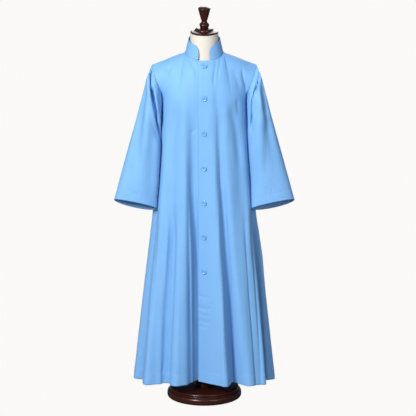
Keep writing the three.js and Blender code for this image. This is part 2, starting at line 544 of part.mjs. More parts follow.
function formTorso() {
  const columns = 28;
  const ring = (row) =>
    Array.from({ length: columns }, (_, j) => {
      const angle = (j / columns) * 2 * Math.PI;
      const [across, away] = [Math.sin(angle), Math.cos(angle)];
      const depth = away > 0 ? row.front : row.back;
      const reach = (Math.abs(across / row.halfWidth) ** row.power + Math.abs(away / depth) ** row.power) ** (-1 / row.power);
      const sideways = ((reach * across) / row.halfWidth) ** 2;
      return vector(reach * across, -reach * away, mix(away > 0 ? row.frontZ : row.backZ, row.sideZ, sideways));
    });
  const rings = FORM_RINGS.map(ring);
  const points = [...rings.flat(), vector(0, 0, NECK_TOP_Z), vector(0, 0, FORM_BOTTOM_Z)];
  const [top, bottom] = [points.length - 2, points.length - 1];
  const lowest = (rings.length - 1) * columns;
  const index = [];
  for (let j = 0; j < columns; j += 1) {
    const next = (j + 1) % columns;
    for (let i = 0; i < rings.length - 1; i += 1) {
      const [a, b] = [i * columns, (i + 1) * columns];
      index.push(a + j, b + j, b + next, a + j, b + next, a + next);
    }
    index.push(top, j, next, bottom, lowest + next, lowest + j);
  }
  return solidFrom(points.flatMap((p) => [p.x, p.y, p.z]), index);
}

// A turned solid about +Z from its profile, closed on the axis at both ends.
function turned(profile, segments, topHeight = profile[profile.length - 1].height) {
  const outline = [
    new THREE.Vector2(0, profile[0].height),
    ...profile.map((p) => new THREE.Vector2(p.radius, p.height)),
    new THREE.Vector2(0, topHeight),
  ];
  const geometry = new THREE.LatheGeometry(outline, segments);
  return geometry.rotateX(Math.PI / 2);
}

// ---------------------------------------------------------------- the object

const cassockOnForm = new THREE.Group();
const raised = new THREE.Group();
raised.position.z = POLE_SETTING;
cassockOnForm.add(raised);

function add(name, geometry, finish, z = 0, group = raised) {
  const mesh = new THREE.Mesh(geometry, finish);
  mesh.name = name;
  mesh.position.z = z;
  group.add(mesh);
  return mesh;
}

add("front_left", bodyPanel(frontPlaces), BLUE_CLOTH);
add("front_right", bodyPanel((row) => frontPlaces(row).map((place) => -place), lapDrop), BLUE_CLOTH);
add("back", bodyPanel(backPlaces), BLUE_CLOTH);
add("sleeve_left", sleeve(1, LEFT_SLEEVE_FOLDS), BLUE_CLOTH);
add("sleeve_right", sleeve(-1, RIGHT_SLEEVE_FOLDS), BLUE_CLOTH);
add("collar", collar(), BLUE_CLOTH);

// The row number on the front centre line whose point has this height.
function rowAtHeight(z) {
  let [low, high] = [0, ROWS];
  for (let i = 0; i < 40; i += 1) {
    const middle = (low + high) / 2;
    if (bodyPoint(0, middle).z > z) low = middle;
    else high = middle;
  }
  return low;
}

for (let i = 0; i < BUTTON_COUNT; i += 1) {
  const z = i === 0 ? TOP_BUTTON_Z : SECOND_BUTTON_Z - (i - 1) * BUTTON_PITCH;
  const row = rowAtHeight(z);
  const out = bodyOut(0, row);
  const button = add("button_" + (i + 1), turned(BUTTON_PROFILE, 14, BUTTON_FACE_HEIGHT), BLUE_BUTTON);
  button.position.copy(bodyPoint(0, row).addScaledVector(out, SEAM_GAP));
  button.quaternion.setFromUnitVectors(vector(0, 0, 1), out);
}

const TOUCH = 0.3; // between the form's own pieces
const CAP_Z = NECK_TOP_Z + TOUCH;
const POLE_Z = FOOT_TOP + TOUCH;
const POLE_LENGTH = POLE_SETTING + FORM_BOTTOM_Z - TOUCH - POLE_Z;
add("form_torso", formTorso(), CREAM_COVER);
add("form_cap", turned(CAP_PROFILE, 28), DARK_WOOD, CAP_Z);
add("form_finial", turned(FINIAL_PROFILE, 18, FINIAL_TOP), DARK_WOOD, CAP_Z + CAP_TOP + TOUCH);
const pole = [{ radius: POLE_RADIUS, height: 0 }, { radius: POLE_RADIUS, height: POLE_LENGTH }];
add("form_pole", turned(pole, 16), DARK_WOOD, POLE_Z, cassockOnForm);
add("form_foot", turned(FOOT_PROFILE, 32), DARK_WOOD, 0, cassockOnForm);

export default cassockOnForm;
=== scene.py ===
# %% [markdown]
# # A choir cassock on a dress form
# The CAD model gives every piece its true place and size. This lesson dresses it: each wall of cloth becomes a thin,
# creased sheet, and each turned piece gets its fine mouldings. Everything is in metres, and small sizes are written
# in millimetres times MM.

# %% Load the frame
import math
import bmesh
import bpy
import numpy as np
from mathutils import Matrix, Quaternion, Vector


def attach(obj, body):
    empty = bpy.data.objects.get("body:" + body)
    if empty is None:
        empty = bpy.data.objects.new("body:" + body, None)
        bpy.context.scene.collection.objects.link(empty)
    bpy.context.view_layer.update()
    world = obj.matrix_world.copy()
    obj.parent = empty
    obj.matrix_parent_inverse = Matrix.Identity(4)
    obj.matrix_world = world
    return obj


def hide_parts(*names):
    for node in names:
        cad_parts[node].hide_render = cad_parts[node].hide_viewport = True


MM = 0.001
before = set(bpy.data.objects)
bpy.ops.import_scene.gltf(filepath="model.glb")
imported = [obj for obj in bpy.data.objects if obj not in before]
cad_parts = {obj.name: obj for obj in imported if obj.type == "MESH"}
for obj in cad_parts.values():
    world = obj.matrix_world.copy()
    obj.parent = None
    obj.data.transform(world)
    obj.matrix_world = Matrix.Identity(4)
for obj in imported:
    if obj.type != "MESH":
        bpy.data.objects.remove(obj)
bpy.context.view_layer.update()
print("CAD nodes:", ", ".join(sorted(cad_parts)))

# %% [markdown]
# ## Camera
# A long lens from far away keeps upright lines upright. It looks down a little, so the top of the foot shows as an
# ellipse and the inside of the cuffs just shows.

# %% Camera
VIEW_ELEVATION = math.radians(16.5)
VIEW_DISTANCE = 28.0
VIEW_WIDTH = 1747 * MM
SENSOR = 36.0
look_at = Vector((15.5 * MM, 0, 825 * MM))

camera_data = bpy.data.cameras.new("camera")
camera_data.sensor_width = SENSOR
camera_data.lens = SENSOR * VIEW_DISTANCE / VIEW_WIDTH
camera = bpy.data.objects.new("camera", camera_data)
bpy.context.collection.objects.link(camera)
backwards = Vector((0, -math.cos(VIEW_ELEVATION), math.sin(VIEW_ELEVATION)))
camera.location = look_at + backwards * VIEW_DISTANCE
camera.rotation_euler = (-backwards).to_track_quat("-Z", "Y").to_euler()
bpy.context.scene.camera = camera
print("lens %.0f mm at %.0f m" % (camera_data.lens, VIEW_DISTANCE))

# %% [markdown]
# ## Light and floor
# One large soft light from the upper left models the folds, a weaker one from the upper right keeps their shadows
# open, one from behind gives the shoulders an edge, and the pale room does the rest. Seen straight, the floor is as
# pale as the room, so that it shows no horizon. To all other rays it is darker, because a pale floor would light up
# the inside of the cuffs.

# %% Colours and a small helper for nodes
def from_hex(code):
    """The linear colour of an sRGB hex value."""
    channels = [int(code[i:i + 2], 16) / 255 for i in (1, 3, 5)]
    return [c / 12.92 if c <= 0.04045 else ((c + 0.055) / 1.055) ** 2.4 for c in channels] + [1.0]


def add_node(tree, kind, links=(), **settings):
    """Add a node; settings set its properties or its sockets, and links are (socket, node, output) to read from."""
    node = tree.nodes.new(kind)
    for key, value in settings.items():
        if hasattr(node, key):
            setattr(node, key, value)
        else:
            node.inputs[key.replace("_", " ")].default_value = value
    for socket, source, output in links:
        tree.links.new(source.outputs[output], node.inputs[socket])
    return node


def new_material(name, **settings):
    """A material with one Principled shader, whose constant sockets are set directly."""
    material = bpy.data.materials.new(name)
    material.use_nodes = True
    shader = material.node_tree.nodes["Principled BSDF"]
    for key, value in settings.items():
        shader.inputs[key.replace("_", " ")].default_value = value
    return material, material.node_tree, shader


# %% Room, lights and floor
ROOM = from_hex("#faf9f7")

world = bpy.data.worlds.new("room")
bpy.context.scene.world = world
world.use_nodes = True
room_tree = world.node_tree
room_light = room_tree.nodes["Background"]
room_light.inputs["Color"].default_value = (0.82, 0.91, 1.0, 1.0)
room_light.inputs["Strength"].default_value = 0.34
room_seen = add_node(room_tree, "ShaderNodeBackground", Color=ROOM, Strength=1.0)
ray = add_node(room_tree, "ShaderNodeLightPath")
room_mix = add_node(room_tree, "ShaderNodeMixShader",
                    [(0, ray, "Is Camera Ray"), (1, room_light, 0), (2, room_seen, 0)])
room_tree.links.new(room_mix.outputs[0], room_tree.nodes["World Output"].inputs["Surface"])


def add_light(name, place, size, power, color=(1.0, 1.0, 1.0)):
    """A square soft light that faces the middle of the object."""
    data = bpy.data.lights.new(name, "AREA")
    data.size = size
    data.energy = power
    data.color = color
    light = bpy.data.objects.new(name, data)
    bpy.context.collection.objects.link(light)
    light.location = place
    light.rotation_euler = (look_at - Vector(place)).to_track_quat("-Z", "Y").to_euler()
    return light


add_light("key_light", (-3.1, -5.0, 4.3), 1.7, 594, (1.0, 0.99, 0.97))
add_light("fill_light", (2.6, -4.2, 3.0), 2.2, 84, (0.97, 0.99, 1.0))
add_light("back_light", (0.6, 3.6, 2.8), 2.4, 90)

floor_material, floor_tree, floor_shader = new_material(
    "pale_floor_paint", Base_Color=from_hex("#6c6b6a"), Roughness=0.9)
floor_seen = add_node(floor_tree, "ShaderNodeEmission", Color=ROOM, Strength=1.0)
floor_ray = add_node(floor_tree, "ShaderNodeLightPath")
floor_mix = add_node(floor_tree, "ShaderNodeMixShader",
                     [(0, floor_ray, "Is Camera Ray"), (1, floor_shader, 0), (2, floor_seen, 0)])
floor_tree.links.new(floor_mix.outputs[0], floor_tree.nodes["Material Output"].inputs["Surface"])
floor_bm = bmesh.new()
bmesh.ops.create_grid(floor_bm, x_segments=1, y_segments=1, size=30)
floor_mesh = bpy.data.meshes.new("floor")
floor_bm.to_mesh(floor_mesh)
floor_bm.free()
floor_mesh.materials.append(floor_material)
floor = bpy.data.objects.new("floor", floor_mesh)
bpy.context.collection.objects.link(floor)
floor.location.z = -0.5 * MM

bpy.context.scene.view_settings.view_transform = "Standard"

# %% [markdown]
# ## Finishes
# A choir cassock is sewn from a mid-weight polyester and cotton poplin: a plain weave, matt, with a faint bloom of
# fibre ends where light grazes it. Its threads lie about 0.35 mm apart, too fine to show from a few steps away, so
# the weave is drawn at 0.9 mm. It follows the cloth's own UV map, which is in metres along the warp and the weft.

# %% Poplin
WEAVE = 0.9 * MM


def make_poplin(name, color, shade):
    """Plain-woven dyed poplin: matt, crossed threads, a faint unevenness of the dye."""
    material, tree, shader = new_material(
        name, Roughness=0.66, Specular_IOR_Level=0.42, Sheen_Weight=0.12, Sheen_Roughness=0.45,
        Sheen_Tint=from_hex("#cfe2fb"))
    coords = add_node(tree, "ShaderNodeTexCoord")
    # The dye is cloudy over about 140 mm, and thicker threads show over about 4 mm.
    dye = add_node(tree, "ShaderNodeTexNoise", [("Vector", coords, "Object")], Scale=7.0, Detail=4.0)
    slub = add_node(tree, "ShaderNodeTexNoise", [("Vector", coords, "UV")], Scale=260.0, Detail=3.0)
    both = add_node(tree, "ShaderNodeMath", [(0, dye, "Fac"), (1, slub, "Fac")], operation="ADD")
    ramp = add_node(tree, "ShaderNodeMapRange", [("Value", both, 0)])
    ramp.inputs["From Min"].default_value = 0.7
    ramp.inputs["From Max"].default_value = 1.3
    tint = add_node(tree, "ShaderNodeMix", [(0, ramp, 0)], data_type="RGBA")
    tint.inputs[6].default_value = from_hex(shade)
    tint.inputs[7].default_value = from_hex(color)
    tree.links.new(tint.outputs[2], shader.inputs["Base Color"])
    # A wave texture of scale 1 has bands pi / 10 metres apart.
    threads = [add_node(tree, "ShaderNodeTexWave", [("Vector", coords, "UV")], wave_type="BANDS",
                        bands_direction=direction, Scale=math.pi / (10 * WEAVE)) for direction in ("X", "Y")]
    weave = add_node(tree, "ShaderNodeMath", [(0, threads[0], "Fac"), (1, threads[1], "Fac")], operation="MULTIPLY")
    # The nap's fibre ends are about 1 mm apart.
    nap = add_node(tree, "ShaderNodeTexNoise", [("Vector", coords, "UV")], Scale=900.0, Detail=2.0)
    relief = add_node(tree, "ShaderNodeMath", [(0, weave, 0), (1, nap, "Fac")], operation="ADD")
    bump = add_node(tree, "ShaderNodeBump", [("Height", relief, 0)], Strength=0.35, Distance=0.12 * MM)
    tree.links.new(bump.outputs[0], shader.inputs["Normal"])
    return material


poplin = make_poplin("sky_blue_poplin", "#70a3d6", "#6b9ed1")
print("finish:", poplin.name)

# %% [markdown]
# ## Reading the cloth's form
# Each cloth node is a closed wall, 2 or 3 mm thick, whose outer side is a regular net of points. A real cloth is
# thinner and smoother, so the script walks over that net row by row, and later draws a smooth surface through it.
# Only the outer side is wanted: the two broad sides of a wall meet its rim at right angles, which is how they are
# told apart, and the outer one is the larger.

# %% The outer side of a wall, as rows of points
RIM_ANGLE = math.radians(70)
RIM_WIDTH = 3 * MM
SPECK = 8  # faces


def outer_side(node):
    """A bmesh of a cloth wall's outer side alone."""
    bm = bmesh.new()
    bm.from_mesh(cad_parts[node].data)
    bmesh.ops.remove_doubles(bm, verts=bm.verts, dist=0.01 * MM)
    sides, waiting = [], set(bm.faces)
    while waiting:
        side, edge_of_side = set(), [waiting.pop()]
        while edge_of_side:
            face = edge_of_side.pop()
            side.add(face)
            near = {other for e in face.edges if e.calc_face_angle(0) < RIM_ANGLE for other in e.link_faces}
            edge_of_side.extend(near & waiting)
            waiting -= near
        sides.append(side)
    outer = max(sides, key=lambda side: sum(face.calc_area() for face in side))
    # A sharp crease can cut a few faces off from their side, which aren't a side of their own.
    outer.update(face for side in sides if len(side) < SPECK for face in side)
    bmesh.ops.delete(bm, geom=[f for f in bm.faces if f not in outer], context="FACES")
    return bm


def rows_of(node, start, highest_first=True, closed=False):
    """The points of a wall's outer side, row by row. start is near the first point of the first row."""
    bm = outer_side(node)
    linked = {v: {e.other_vert(v) for e in v.link_edges} for v in bm.verts}
    border = {v: [e.other_vert(v) for e in v.link_edges if e.is_boundary] for v in bm.verts if v.is_boundary}
    corners = [v for v in border if len(v.link_edges) < 4]
    if closed:
        # A tube is read from its open end, whose outer rim reaches furthest from the middle of the garment.
        first = max(border, key=lambda v: abs(v.co.x))
        row = [first, border[first][0]]
    else:
        first = min(corners, key=lambda v: (v.co - Vector(start)).length)
        row = [first, (max if highest_first else min)(border[first], key=lambda v: v.co.z)]
    while not (row[-1] is first or (not closed and row[-1] in corners)):
        row.append(next(v for v in border[row[-1]] if v is not row[-2]))
    if closed:
        row.pop()
    rows, used = [row], set(row)
    while True:
        above = rows[-1]
        below = [v for v in linked[above[0]] - used if closed or v in border]
        if not below:
            break
        row = [min(below, key=lambda v: (v.co - above[0].co).length)]
        used.add(row[0])
        for right in above[1:]:
            row.append((linked[row[-1]] & linked[right] - used).pop())
            used.add(row[-1])
        # A row no further from the last than the wall is thick belongs to the rim.
        if np.mean([(a.co - b.co).length for a, b in zip(above, row)]) < RIM_WIDTH:
            break
        rows.append(row)
    points = np.array([[v.co[:] for v in row] for row in rows])
    if closed:
        points = points[::-1]
        points = np.roll(points, -np.linalg.norm(points[0] - start, axis=1).argmin(), axis=1)
        if points[0, 1, 1] > points[0, -1, 1]:
            points = np.roll(points[:, ::-1], 1, axis=1)
    bm.free()
    print("%s: %d rows of %d points" % (node, *points.shape[:2]))
    return points


# %% [markdown]
# ## A smooth, fine sheet through those rows
# The rows are joined by smooth curves both ways and read again every few millimetres, closer together near the hem,
# where stitches draw the cloth into small puckers. The sheet also keeps two lengths for each point, how far it lies
# across from its first edge and how far up from its hem: they place stitches, and become the UV map of the weave.

# %% Smooth curves and fine sheets
def smooth_through(knots, values, at):
    """Read smooth curves at new places. values has a row for each knot, and the curves pass through them."""
    gaps = np.diff(knots)
    slopes = np.diff(values, axis=0) / gaps[:, None, None]
    ends = np.concatenate([slopes[:1], slopes, slopes[-1:]])
    weights = np.concatenate([gaps[:1], gaps, gaps[-1:]])[:, None, None]
    tangents = (ends[:-1] * weights[1:] + ends[1:] * weights[:-1]) / (weights[1:] + weights[:-1])
    i = np.clip(np.searchsorted(knots, at, side="right") - 1, 0, len(gaps) - 1)
    t = ((at - knots[i]) / gaps[i])[:, None, None]
    h = gaps[i][:, None, None]
    return ((2 * t**3 - 3 * t**2 + 1) * values[i] + (t**3 - 2 * t**2 + t) * h * tangents[i]
            + (3 * t**2 - 2 * t**3) * values[i + 1] + (t**3 - t**2) * h * tangents[i + 1])


def lengths_along(points):
    """Mean length so far at each row of an array of points."""
    steps = np.linalg.norm(np.diff(points, axis=0), axis=2).mean(axis=1)
    return np.concatenate([[0], np.cumsum(steps)])


HEM_ZONE = 62 * MM


def fine_places(total, spacing, hem_spacing=None):
    """Places along a length, spacing apart, and closer over the hem zone at its end."""
    if hem_spacing is None:
        return np.linspace(0, total, round(total / spacing) + 1)
    body = np.linspace(0, total - HEM_ZONE, round((total - HEM_ZONE) / spacing) + 1)
    hem = np.linspace(total - HEM_ZONE, total, round(HEM_ZONE / hem_spacing) + 1)
    return np.concatenate([body, hem[1:]])


def fine_sheet(rows, across_spacing, down_spacing, hem_spacing=None, closed=False):
    """A fine grid of points through the rows, with the lengths across and up from the hem at each point."""
    down_knots = lengths_along(rows)
    fine = smooth_through(down_knots, rows, fine_places(down_knots[-1], down_spacing, hem_spacing))
    columns = fine.transpose(1, 0, 2)
    if closed:
        # The columns run on past a tube's join, so that the curves meet smoothly there.
        extra = 3
        columns = np.concatenate([columns[-extra:], columns, columns[:extra + 1]])
        knots = lengths_along(columns)
        low, high = knots[extra], knots[-extra - 1]
        fine = smooth_through(knots, columns, low + fine_places(high - low, across_spacing)).transpose(1, 0, 2)
        fine[:, -1] = fine[:, 0]
    else:
        knots = lengths_along(columns)
        fine = smooth_through(knots, columns, fine_places(knots[-1], across_spacing)).transpose(1, 0, 2)
    step_across = np.linalg.norm(np.diff(fine, axis=1), axis=2)
    step_down = np.linalg.norm(np.diff(fine, axis=0), axis=2)
    across = np.concatenate([np.zeros((len(fine), 1)), np.cumsum(step_across, axis=1)], axis=1)
    down = np.concatenate([np.zeros((1, fine.shape[1])), np.cumsum(step_down, axis=0)])
    return fine, across, down[-1:] - down


def outward(points, middle=None):
    """Unit normals of a fine sheet that face away from an upright axis at middle, or from each row's own middle."""
    normals = np.cross(np.gradient(points, axis=1), np.gradient(points, axis=0))
    normals /= np.linalg.norm(normals, axis=2, keepdims=True) + 1e-12
    centre = points.mean(axis=1, keepdims=True) if middle is None else np.array([*middle, 0])
    away = (points - centre) * (1, 1, 0)
    return normals if (normals * away).sum() > 0 else -normals


# %% [markdown]
# ## Creases
# The broad folds are in the CAD model already. What is added here are the creases between them, each given as
# a path over the garment as seen from the front or the back, its softness to either side and its depth, all in
# millimetres. A negative depth is a ridge. Each crease's strength grows and fades along its path, as a pull in cloth
# does.

# %% Creases from a table
CURVE_STEPS = 16  # straight steps that a path is measured by
REACH = 3  # how far to its sides a crease is worked out, in softnesses
TURN = 3  # a crease fades out on cloth that is turned more than about 70 degrees away


def on_front(path, soft, depth, other=1.0, grow=0.25, fade=0.35):
    """A crease on the front, from its path's (x, z) points, its softness and its depth.

    On a path that runs down, other is the softness towards the wearer's right as a share of the softness towards the
    left. grow and fade are the shares of the path over which the crease starts and ends."""
    return {"path": np.array(path, float), "soft": soft, "depth": depth, "other": other, "grow": grow, "fade": fade,
            "faces": -1}


def on_back(path, **how):
    """The same on the back."""
    return {**on_front(path, **how), "faces": 1}


def soft_step(x):
    """A smooth step, from 0 at 0 to 1 at 1."""
    x = np.clip(x, 0, 1)
    return x * x * (3 - 2 * x)


def path_distance(flat, path):
    """Signed distance of flat points to a path, and how far along it the nearest place lies, from 0 to 1."""
    stretches = np.linalg.norm(np.diff(path, axis=0), axis=1)
    so_far = np.concatenate([[0], np.cumsum(stretches)])
    curve = smooth_through(so_far, path[:, None, :], np.linspace(0, so_far[-1], CURVE_STEPS + 1))[:, 0]
    best = np.full(len(flat), np.inf)
    signed, along = np.zeros(len(flat)), np.zeros(len(flat))
    for i in range(CURVE_STEPS):
        a, step = curve[i], curve[i + 1] - curve[i]
        t = ((flat - a) @ step) / (step @ step)
        inside = np.clip(t, 0, 1)
        apart = flat - a - inside[:, None] * step
        distance = np.hypot(*apart.T)
        side = np.sign(step[0] * apart[:, 1] - step[1] * apart[:, 0])
        nearer = distance < best
        best = np.where(nearer, distance, best)
        signed = np.where(nearer, distance * side, signed)
        along = np.where(nearer, (i + inside) / CURVE_STEPS, along)
    return signed, along


def crease(points, normals, creases):
    """Move a fine sheet's points in along their normals by every crease in a table."""
    flat = points[..., (0, 2)].reshape(-1, 2) / MM
    facing = normals[..., 1].reshape(-1)
    depth = np.zeros(len(flat))
    for row in creases:
        path = row["path"]
        reach = REACH * row["soft"]
        near = np.all((flat > path.min(0) - reach) & (flat < path.max(0) + reach), axis=1)
        if not near.any():
            continue
        signed, along = path_distance(flat[near], path)
        soft = np.where(signed > 0, row["soft"], row["soft"] * row["other"])
        strength = soft_step(along / row["grow"]) * soft_step((1 - along) / row["fade"])
        seen = soft_step(row["faces"] * facing[near] * TURN)
        depth[near] += row["depth"] * np.exp(-(signed / soft) ** 2) * strength * seen
    return points - normals * (depth.reshape(points.shape[:2]) * MM)[..., None]


# %% [markdown]
# Two things that a table doesn't place: the small puckers that a hem's stitches draw, and the slight unevenness of
# hanging cloth. Both are drawn from a fixed seed, so every run gives the same cloth. At seams the two cloths dip
# towards their stitches.

# %% Puckers, seams and unevenness
HEM_STITCHES = 50 * MM
CUFF_STITCHES = 38 * MM
PUCKER_ZONE = 45 * MM  # above and below the stitches


def pucker(points, normals, across, up, height, seed):
    """Draw a hem in along its stitches, with short uneven puckers above and below them."""
    random = np.random.default_rng(seed)
    # The stitches sink 0.45 mm in, and the doubled hem below them stands 0.3 mm out.
    depth = 0.45 * np.exp(-((up - height) / (1.6 * MM)) ** 2) - 0.3 * soft_step((height - up) / (3 * MM) + 0.5)
    zone = np.abs(up - height) < PUCKER_ZONE
    place = 0.0
    while place < across.max():
        place += random.uniform(9, 34) * MM
        soft = random.uniform(2.5, 6) * MM
        tall = random.uniform(6, 16) * MM
        rise = random.uniform(-4, 9) * MM
        deep = random.uniform(0.15, 0.75)
        slant = random.uniform(-0.25, 0.25)
        sideways = across[zone] - place - slant * (up[zone] - height)
        depth[zone] += deep * np.exp(-(sideways / soft) ** 2 - ((up[zone] - height - rise) / tall) ** 2)
    return points - normals * (depth * MM)[..., None]


def held_at(points, sewn, distance, reach):
    """Keep a sheet where its seam holds it, and let it move freely from reach mm away."""
    return sewn + (points - sewn) * soft_step(distance / (reach * MM))[..., None]


ALLOWANCE = 5 * MM
SEAM_DIP = (0.4, 4)  # mm deep, and mm soft
TOP_DIP = (0.5, 3.5)


def turn_in(points, normals, across, up, sides, onward=0):
    """Turn a narrow allowance of cloth inwards at the sewn edges, so that no light shows between two pieces.

    onward lets the top allowance run on beyond its edge, under the neighbouring piece."""
    for side in sides:
        edge, axis, first = {"top": (np.s_[:1], 0, True), "first": (np.s_[:, :1], 1, True),
                             "last": (np.s_[:, -1:], 1, False)}[side]
        turned = points[edge] - normals[edge] * ALLOWANCE
        if side == "top" and onward:
            along = points[:1] - points[1:2]
            turned += along / (np.linalg.norm(along, axis=2, keepdims=True) + 1e-9) * onward
        added = (turned, normals[edge],
                 across[edge] + {"first": -1, "last": 1}.get(side, 0) * ALLOWANCE,
                 up[edge] + (side == "top") * ALLOWANCE)
        points, normals, across, up = (
            np.concatenate([new, old] if first else [old, new], axis=axis)
            for new, old in zip(added, (points, normals, across, up)))
    return points, normals, across, up


def dip(points, normals, distance, depth, soft):
    """Draw an edge of a sheet in towards its seam, by depth at the edge and softly less away from it."""
    return points - normals * (depth * MM * np.exp(-(distance / (soft * MM)) ** 2))[..., None]


UNEVEN_WAVES = 7


def uneven(points, normals, amount):
    """A slow unevenness in every direction, from 60 mm to 250 mm long, the same one for neighbours."""
    random = np.random.default_rng(5)
    wave = np.zeros(points.shape[:2])
    for _ in range(UNEVEN_WAVES):
        direction = random.normal(size=3) * (1, 1, 0.45)
        direction /= np.linalg.norm(direction)
        length = random.uniform(60, 250) * MM
        wave += np.sin(points @ direction * (2 * math.pi / length) + random.uniform(0, 2 * math.pi)) / UNEVEN_WAVES
    return points + normals * (wave * amount * MM)[..., None]


# %% [markdown]
# ## From points to a sheet of cloth
# A grid operator makes the faces, and its corners are moved to the fine points. Solidify gives the sheet the
# thickness of real cloth, inwards, so that its outer side stays where the CAD model has it.

# %% Building a sheet
SHARP = math.radians(55)


def finish_piece(mesh, name, node, material):
    """Link a mesh as one piece, which stands for a CAD node where one is named."""
    mesh.materials.clear()
    mesh.materials.append(material)
    mesh.shade_smooth()
    mesh.set_sharp_from_angle(angle=SHARP)
    piece = bpy.data.objects.new(name, mesh)
    bpy.context.collection.objects.link(piece)
    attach(piece, "root")
    if node:
        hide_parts(node)
    return piece


def build_sheet(name, node, points, normals, across, up, thickness, closed=False, slot="cassock_cloth",
                material=poplin):
    """One piece from its fine points: a sheet of cloth, or with no thickness a solid with its ends filled."""
    rows, columns = points.shape[:2]
    bm = bmesh.new()
    bmesh.ops.create_grid(bm, x_segments=columns - 1, y_segments=rows - 1, size=1)
    grid_normals = np.cross(np.gradient(points, axis=1), np.gradient(points, axis=0))
    if (grid_normals * normals).sum() < 0:
        bmesh.ops.reverse_faces(bm, faces=bm.faces)
    mesh = bpy.data.meshes.new(name)
    bm.to_mesh(mesh)
    flat = np.zeros(len(mesh.vertices) * 3)
    mesh.vertices.foreach_get("co", flat)
    column, row = (np.rint((flat.reshape(-1, 3)[:, k] + 1) / 2 * (n - 1)).astype(int)
                   for k, n in ((0, columns), (1, rows)))
    mesh.vertices.foreach_set("co", points[row, column].ravel())
    corner = np.zeros(len(mesh.loops), int)
    mesh.loops.foreach_get("vertex_index", corner)
    lengths = np.stack([across[row, column], up[row, column]], axis=1)
    mesh.uv_layers.new(name="cloth").data.foreach_set("uv", lengths[corner].ravel())
    bm.free()
    if closed:
        bm = bmesh.new()
        bm.from_mesh(mesh)
        bmesh.ops.remove_doubles(bm, verts=bm.verts, dist=0.001 * MM)
        if not thickness:
            bmesh.ops.holes_fill(bm, edges=[e for e in bm.edges if e.is_boundary], sides=0)
        bm.to_mesh(mesh)
        bm.free()
    piece = finish_piece(mesh, name, node, material)
    if thickness:
        wall = piece.modifiers.new("cloth", "SOLIDIFY")
        wall.thickness = thickness
        wall.offset = -1
    print("%s: %d faces, %.0f mm across the hem, %.0f mm long, %.3f square metres" % (
        name, len(mesh.polygons), across[-1, -1] / MM, up[0].mean() / MM, sum(f.area for f in mesh.polygons)))
    return piece


# %% [markdown]
# ## The fronts
# Each front is one panel from the shoulder to the hem. The left one laps over the right one, and its edge runs down
# the middle. The chest has short soft pulls from the collar and the shoulders, and long shallow folds start below
# it.

# %% Crease tables of the fronts
LAP_CREASES = [
    # Short level puckers of the lap, below its last button.
    on_front([(-30, 478), (-2, 470), (26, 480)], soft=7, depth=1.7),
    on_front([(-30, 428), (0, 420), (32, 430)], soft=7, depth=1.9),
    on_front([(-28, 397), (4, 391), (28, 397)], soft=6, depth=1.4),
    on_front([(-30, 367), (-4, 361), (26, 369)], soft=7, depth=1.8),
    on_front([(-28, 343), (2, 337), (24, 342)], soft=6, depth=1.3),
]
LEFT_FRONT_CREASES = LAP_CREASES + [
    # Pulls from the collar.
    on_front([(52, 1490), (46, 1458), (40, 1415), (38, 1375)], soft=6, depth=3, grow=0.05),
    on_front([(68, 1488), (60, 1447), (56, 1400)], soft=6, depth=2.4, grow=0.05),
    # Pulls from the shoulder and the armhole.
    on_front([(158, 1452), (160, 1430), (164, 1408), (171, 1378), (179, 1345)],
             soft=5, depth=4, grow=0.3, fade=0.15),
    on_front([(136, 1440), (150, 1400), (160, 1352)], soft=9, depth=-2.4),
    on_front([(118, 1452), (140, 1400), (150, 1340)], soft=12, depth=2),
    # The chest's shallow folds.
    on_front([(108, 1330), (120, 1265), (134, 1190), (143, 1110), (155, 990)], soft=15, depth=6),
    on_front([(136, 1332), (141, 1292), (146, 1235)], soft=8, depth=2.6),
    on_front([(44, 1335), (48, 1250), (52, 1120), (58, 960)], soft=12, depth=-3.5),
    # The skirt's long folds.
    on_front([(148, 1000), (160, 700), (184, 380), (202, 60)], soft=15, depth=-12, grow=0.4, fade=0.01),
    on_front([(176, 900), (184, 704), (189, 572), (207, 309), (224, 60)], soft=9, depth=-4.5, fade=0.01),
    on_front([(76, 1160), (86, 840), (100, 560), (112, 300), (116, 60)],
             soft=9, depth=4.5, grow=0.3, fade=0.01),
    on_front([(52, 1160), (60, 840), (72, 560), (80, 300), (84, 60)], soft=10, depth=-5, grow=0.3, fade=0.01),
    # Slight swells of the chest.
    on_front([(86, 1320), (92, 1240), (98, 1120)], soft=13, depth=-2.4),
    on_front([(16, 1300), (18, 1240), (17, 1160)], soft=12, depth=-1.6),
    # The far side of the skirt, by its side seam.
    on_front([(197, 905), (205, 704), (214, 572), (231, 309), (242, 60)], soft=8, depth=8, fade=0.01),
    on_front([(216, 905), (231, 700), (249, 400), (270, 60)], soft=10, depth=-9, fade=0.01),
    on_front([(178, 560), (190, 420), (206, 250)], soft=10, depth=2.5),
]
